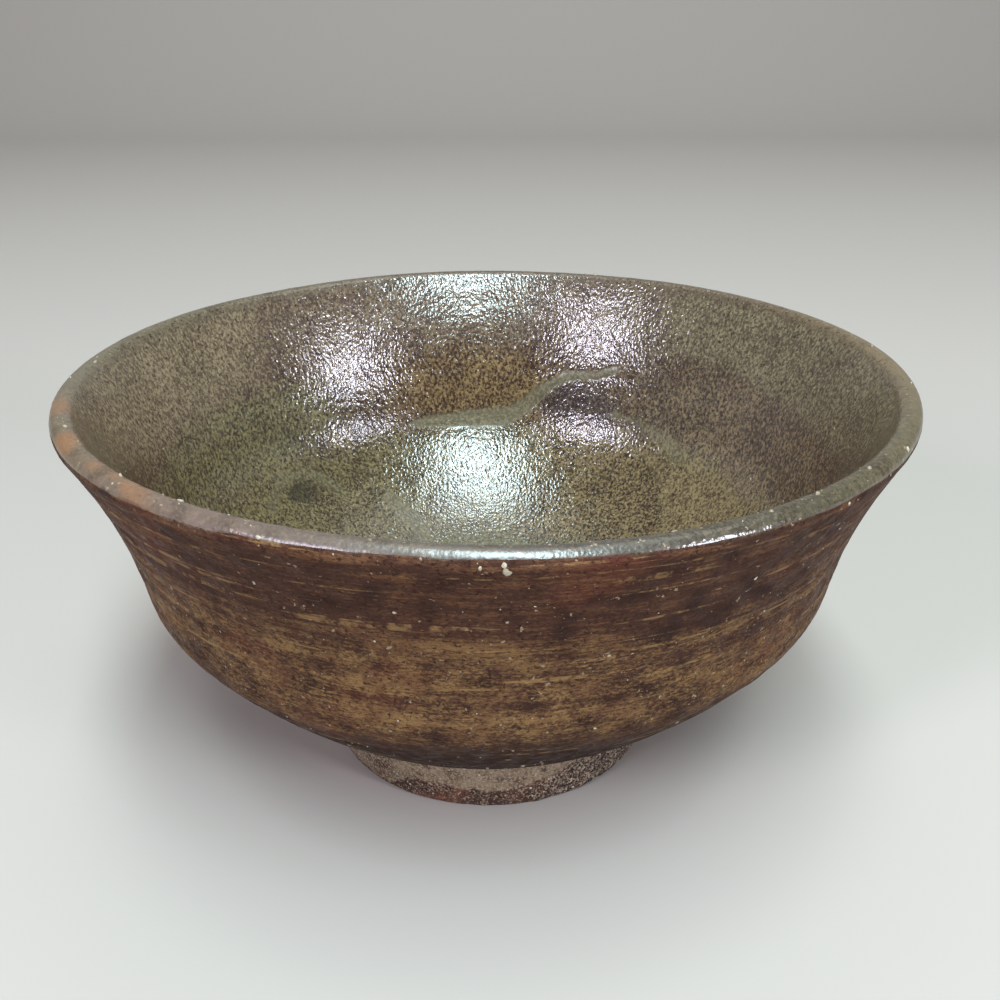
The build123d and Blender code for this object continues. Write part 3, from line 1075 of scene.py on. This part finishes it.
def ash_run():
    """The raised run across the back wall: a low bead along the first of SMOOTH_PATHS."""
    path = np.array(SMOOTH_PATHS[0])
    steps, across, window = 220, 15, 21
    t = np.linspace(0, len(path) - 1, steps)
    az, z, width = (np.interp(t, range(len(path)), path[:, k]) for k in range(3))
    kernel = np.ones(window) / window
    az, z = (np.convolve(np.pad(v, window // 2, mode="edge"), kernel, "valid") for v in (az, z))
    arcs = inside_arcs()
    distances = np.linspace(0, length_of(arcs) * 0.8, 900)
    section, normals = along(arcs, distances, False)
    order = np.argsort(section[:, 1])
    u = np.linspace(-1, 1, across)
    heading = np.arctan2(np.gradient(z), np.gradient(az) * MM_PER_DEG)
    top, under = [], []
    for i in range(steps):
        taper = min(1.0, i / 12, (steps - 1 - i) / 12)
        w = 1.35 * width[i] * (0.25 + 0.75 * taper**0.5) * MM
        w *= 1 + 0.3 * value_noise(np.array([[i * 0.11, 3.0, 0.5], [i * 0.37, 8.0, 0.5]]), 149).sum()
        z_here = z[i] * MM + cos(heading[i]) * u * w
        az_here = np.radians(az[i] - sin(heading[i]) * u * w / MM / MM_PER_DEG)
        r_here = np.interp(z_here, section[order, 1], section[order, 0])
        nr = np.interp(z_here, section[order, 1], normals[order, 0])
        nz = np.interp(z_here, section[order, 1], normals[order, 1])
        crown = (0.1 * taper + 0.02) * MM * (1 - u**2) ** 1.5
        for target, lift in ((top, crown - 0.04 * MM), (under, -0.12 * MM + 0 * u)):
            r = r_here + nr * lift
            target.append(np.stack([r * np.cos(az_here), r * np.sin(az_here), z_here + nz * lift], -1))
    top, under = np.array(top), np.array(under)
    base = np.concatenate([top, under[:, ::-1]], 1)
    cols = base.shape[1]
    vertices = base.reshape(-1, 3)
    faces = ring_faces(steps, cols, False)
    faces.append(tuple(range(cols)))
    faces.append(tuple((steps - 1) * cols + j for j in reversed(range(cols))))
    well_inside = np.full(len(vertices), -20 * MM)
    add_mesh("ash_glass_run", settle(vertices), faces, tone_attributes(vertices, well_inside),
             ASH_MATERIAL, "ash_run")


ash_pool()
ash_run()


# ---- floor, light and camera
def plain(name, red, green, blue, roughness):
    """A material of one even colour."""
    n = Nodes(name)
    n.shader.inputs["Base Color"].default_value = colour(red, green, blue)
    n.shader.inputs["Roughness"].default_value = roughness
    return n.material


def sweep():
    """A pale floor that curves up into a backdrop."""
    near, bend, radius, top, half = -1.6, 0.9, 0.5, 1.8, 2.2
    line = [(near, 0.0), (bend, 0.0)]
    line += [(bend + radius * sin(a), radius - radius * cos(a)) for a in np.linspace(0, pi / 2, 24)[1:]]
    line.append((bend + radius, top))
    vertices = [(x, y, z) for y, z in line for x in (-half, half)]
    faces = [(2 * i, 2 * i + 1, 2 * i + 3, 2 * i + 2) for i in range(len(line) - 1)]
    mesh = bpy.data.meshes.new("floor")
    mesh.from_pydata(vertices, [], faces)
    mesh.polygons.foreach_set("use_smooth", [True] * len(faces))
    mesh.materials.append(plain("floor", 186, 176, 168, 0.9))
    floor = bpy.data.objects.new("floor", mesh)
    bpy.context.scene.collection.objects.link(floor)


def area_light(name, azimuth, elevation, distance, size, energy, tint):
    """A soft box that faces the bowl from an azimuth and elevation in degrees."""
    light = bpy.data.lights.new(name, "AREA")
    light.shape = "RECTANGLE"
    light.size, light.size_y = size
    light.energy = energy
    light.color = tint
    obj = bpy.data.objects.new(name, light)
    az, el = radians(azimuth), radians(elevation)
    target = Vector((0, 0, RIM_H * 0.5))
    offset = Vector((cos(az) * cos(el), sin(az) * cos(el), sin(el))) * distance
    obj.location = target + offset
    obj.rotation_euler = (-offset).to_track_quat("-Z", "Y").to_euler()
    bpy.context.scene.collection.objects.link(obj)


sweep()
area_light("window", -81, 56, 1.1, (0.28, 0.6), 13, (0.74, 0.95, 1.0))
area_light("front_right", -36, 17, 1.3, (0.2, 0.34), 8, (0.85, 0.86, 1.0))
area_light("front_left", -133, 28, 1.3, (0.22, 0.34), 8, (0.87, 0.84, 1.0))
area_light("skylight", -84, 80, 1.1, (0.24, 0.36), 5, (0.76, 0.95, 1.0))
area_light("ceiling", 60, 74, 1.6, (1.4, 1.0), 5, (1.0, 0.98, 0.95))

world = bpy.data.worlds.new("studio")
world.use_nodes = True
background = world.node_tree.nodes["Background"]
background.inputs["Color"].default_value = (0.91, 0.95, 0.98, 1)
background.inputs["Strength"].default_value = 0.16
bpy.context.scene.world = world

# The eye's place in rim radii from the centre of the foot, its downward pitch and its roll in degrees
EYE = (0.03, -2.566, 1.826)
PITCH, ROLL = 24.75, -0.24
camera = bpy.data.cameras.new("camera")
camera.sensor_width = 36.0
camera.lens = 39.6
camera.clip_start = 0.01
eye = bpy.data.objects.new("camera", camera)
eye.location = [share * RIM_R for share in EYE]
pitched = Matrix.Rotation(radians(90 - PITCH), 3, "X")
eye.rotation_euler = (pitched @ Matrix.Rotation(radians(ROLL), 3, "Z")).to_euler()
bpy.context.scene.collection.objects.link(eye)
bpy.context.scene.camera = eye
bpy.context.scene.view_settings.view_transform = "Standard"
